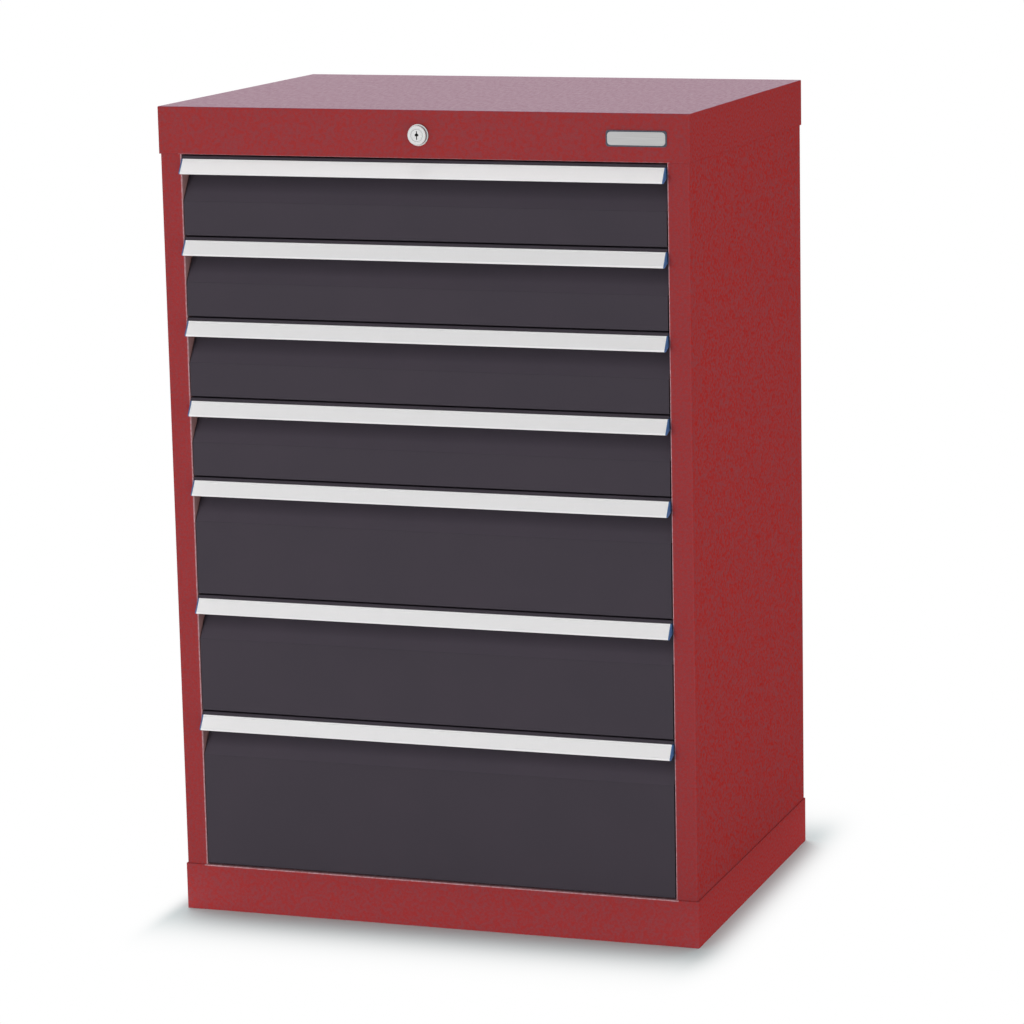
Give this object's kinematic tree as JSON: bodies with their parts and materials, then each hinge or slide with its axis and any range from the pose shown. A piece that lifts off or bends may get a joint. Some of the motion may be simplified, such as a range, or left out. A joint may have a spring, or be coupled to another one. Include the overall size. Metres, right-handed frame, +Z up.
{
  "type": "drawer cabinet",
  "caption": "Upright steel drawer cabinet with full-width sloping grip handles, full-extension roller runners, a central cylinder lock and a closed plinth.",
  "frame": {"origin": "on the floor, in the middle of the whole cabinet with its handles", "axes": "+Z up, +X to the right and +Y to the back as seen from the front; the drawers open along -Y"},
  "size_m": [0.68, 0.5106, 1.019],
  "materials": {
    "red_paint": "fine-textured red powder coat, satin",
    "anthracite_paint": "smooth anthracite powder coat, satin",
    "grey_paint": "light grey powder coat, satin",
    "handle_aluminium": "clear anodised, fine matt",
    "label_card": "white card under a clear matt film",
    "zinc_steel": "bright zinc plate over rolled steel",
    "roller_steel": "zinc-plated strip with ground steel rollers",
    "lock_chrome": "satin chrome",
    "plate_aluminium": "brushed, with a dark edge",
    "nylon": "natural nylon, moulded"
  },
  "bodies": {
    "housing": {"left_side_panel": "red_paint", "right_side_panel": "red_paint", "back_panel": "red_paint", "top_cap": "red_paint", "base_plinth": "red_paint", "floor_panel": "red_paint", "upper_cross_rail": "red_paint", "slotted_uprights": "zinc_steel", "cabinet_rails": "zinc_steel", "back_rivets": "zinc_steel", "lock_case": "lock_chrome", "lock_nut": "zinc_steel", "lock_guides": "nylon", "name_plate": "plate_aluminium"},
    "lock_barrel": {"lock_cylinder": "lock_chrome", "lock_shaft": "zinc_steel", "lock_cam": "zinc_steel"},
    "locking_bar": {"lock_bar": "zinc_steel"},
    "drawer_1": {"drawer_1_tray": "grey_paint", "drawer_1_front": "anthracite_paint", "drawer_1_handle": "handle_aluminium", "drawer_1_label_strip": "label_card", "drawer_1_runners": "zinc_steel"},
    "carriage_1": {"drawer_1_carriages": "roller_steel"},
    "drawer_2": {"drawer_2_tray": "grey_paint", "drawer_2_front": "anthracite_paint", "drawer_2_handle": "handle_aluminium", "drawer_2_label_strip": "label_card", "drawer_2_runners": "zinc_steel"},
    "carriage_2": {"drawer_2_carriages": "roller_steel"},
    "drawer_3": {"drawer_3_tray": "grey_paint", "drawer_3_front": "anthracite_paint", "drawer_3_handle": "handle_aluminium", "drawer_3_label_strip": "label_card", "drawer_3_runners": "zinc_steel"},
    "carriage_3": {"drawer_3_carriages": "roller_steel"},
    "drawer_4": {"drawer_4_tray": "grey_paint", "drawer_4_front": "anthracite_paint", "drawer_4_handle": "handle_aluminium", "drawer_4_label_strip": "label_card", "drawer_4_runners": "zinc_steel"},
    "carriage_4": {"drawer_4_carriages": "roller_steel"},
    "drawer_5": {"drawer_5_tray": "grey_paint", "drawer_5_front": "anthracite_paint", "drawer_5_handle": "handle_aluminium", "drawer_5_label_strip": "label_card", "drawer_5_runners": "zinc_steel"},
    "carriage_5": {"drawer_5_carriages": "roller_steel"},
    "drawer_6": {"drawer_6_tray": "grey_paint", "drawer_6_front": "anthracite_paint", "drawer_6_handle": "handle_aluminium", "drawer_6_label_strip": "label_card", "drawer_6_runners": "zinc_steel"},
    "carriage_6": {"drawer_6_carriages": "roller_steel"},
    "drawer_7": {"drawer_7_tray": "grey_paint", "drawer_7_front": "anthracite_paint", "drawer_7_handle": "handle_aluminium", "drawer_7_label_strip": "label_card", "drawer_7_runners": "zinc_steel"},
    "carriage_7": {"drawer_7_carriages": "roller_steel"}
  },
  "joints": [
    {"name": "drawer_1_slide", "type": "slide", "parent": "housing", "child": "drawer_1", "axis": [0, -1, 0], "range_m": [0, 0.4]},
    {"name": "carriage_1_slide", "type": "slide", "parent": "housing", "child": "carriage_1", "axis": [0, -1, 0], "range_m": [0, 0.2]},
    {"name": "drawer_2_slide", "type": "slide", "parent": "housing", "child": "drawer_2", "axis": [0, -1, 0], "range_m": [0, 0.4]},
    {"name": "carriage_2_slide", "type": "slide", "parent": "housing", "child": "carriage_2", "axis": [0, -1, 0], "range_m": [0, 0.2]},
    {"name": "drawer_3_slide", "type": "slide", "parent": "housing", "child": "drawer_3", "axis": [0, -1, 0], "range_m": [0, 0.4]},
    {"name": "carriage_3_slide", "type": "slide", "parent": "housing", "child": "carriage_3", "axis": [0, -1, 0], "range_m": [0, 0.2]},
    {"name": "drawer_4_slide", "type": "slide", "parent": "housing", "child": "drawer_4", "axis": [0, -1, 0], "range_m": [0, 0.4]},
    {"name": "carriage_4_slide", "type": "slide", "parent": "housing", "child": "carriage_4", "axis": [0, -1, 0], "range_m": [0, 0.2]},
    {"name": "drawer_5_slide", "type": "slide", "parent": "housing", "child": "drawer_5", "axis": [0, -1, 0], "range_m": [0, 0.4]},
    {"name": "carriage_5_slide", "type": "slide", "parent": "housing", "child": "carriage_5", "axis": [0, -1, 0], "range_m": [0, 0.2]},
    {"name": "drawer_6_slide", "type": "slide", "parent": "housing", "child": "drawer_6", "axis": [0, -1, 0], "range_m": [0, 0.4]},
    {"name": "carriage_6_slide", "type": "slide", "parent": "housing", "child": "carriage_6", "axis": [0, -1, 0], "range_m": [0, 0.2]},
    {"name": "drawer_7_slide", "type": "slide", "parent": "housing", "child": "drawer_7", "axis": [0, -1, 0], "range_m": [0, 0.4]},
    {"name": "carriage_7_slide", "type": "slide", "parent": "housing", "child": "carriage_7", "axis": [0, -1, 0], "range_m": [0, 0.2]},
    {"name": "lock_turn", "type": "hinge", "parent": "housing", "child": "lock_barrel", "pos_m": [0, -0.24469, 0.989], "axis": [0, 1, 0], "range_deg": [0, 90]},
    {"name": "locking_bar_lift", "type": "slide", "parent": "housing", "child": "locking_bar", "axis": [0, 0, 1], "range_m": [0, 0.01]}
  ],
  "couplings": [
    {"joint": "carriage_1_slide", "follows": "drawer_1_slide", "ratio": 0.5},
    {"joint": "carriage_2_slide", "follows": "drawer_2_slide", "ratio": 0.5},
    {"joint": "carriage_3_slide", "follows": "drawer_3_slide", "ratio": 0.5},
    {"joint": "carriage_4_slide", "follows": "drawer_4_slide", "ratio": 0.5},
    {"joint": "carriage_5_slide", "follows": "drawer_5_slide", "ratio": 0.5},
    {"joint": "carriage_6_slide", "follows": "drawer_6_slide", "ratio": 0.5},
    {"joint": "carriage_7_slide", "follows": "drawer_7_slide", "ratio": 0.5},
    {"joint": "lock_turn", "follows": "locking_bar_lift", "rad_per_m": 157.08}
  ]
}
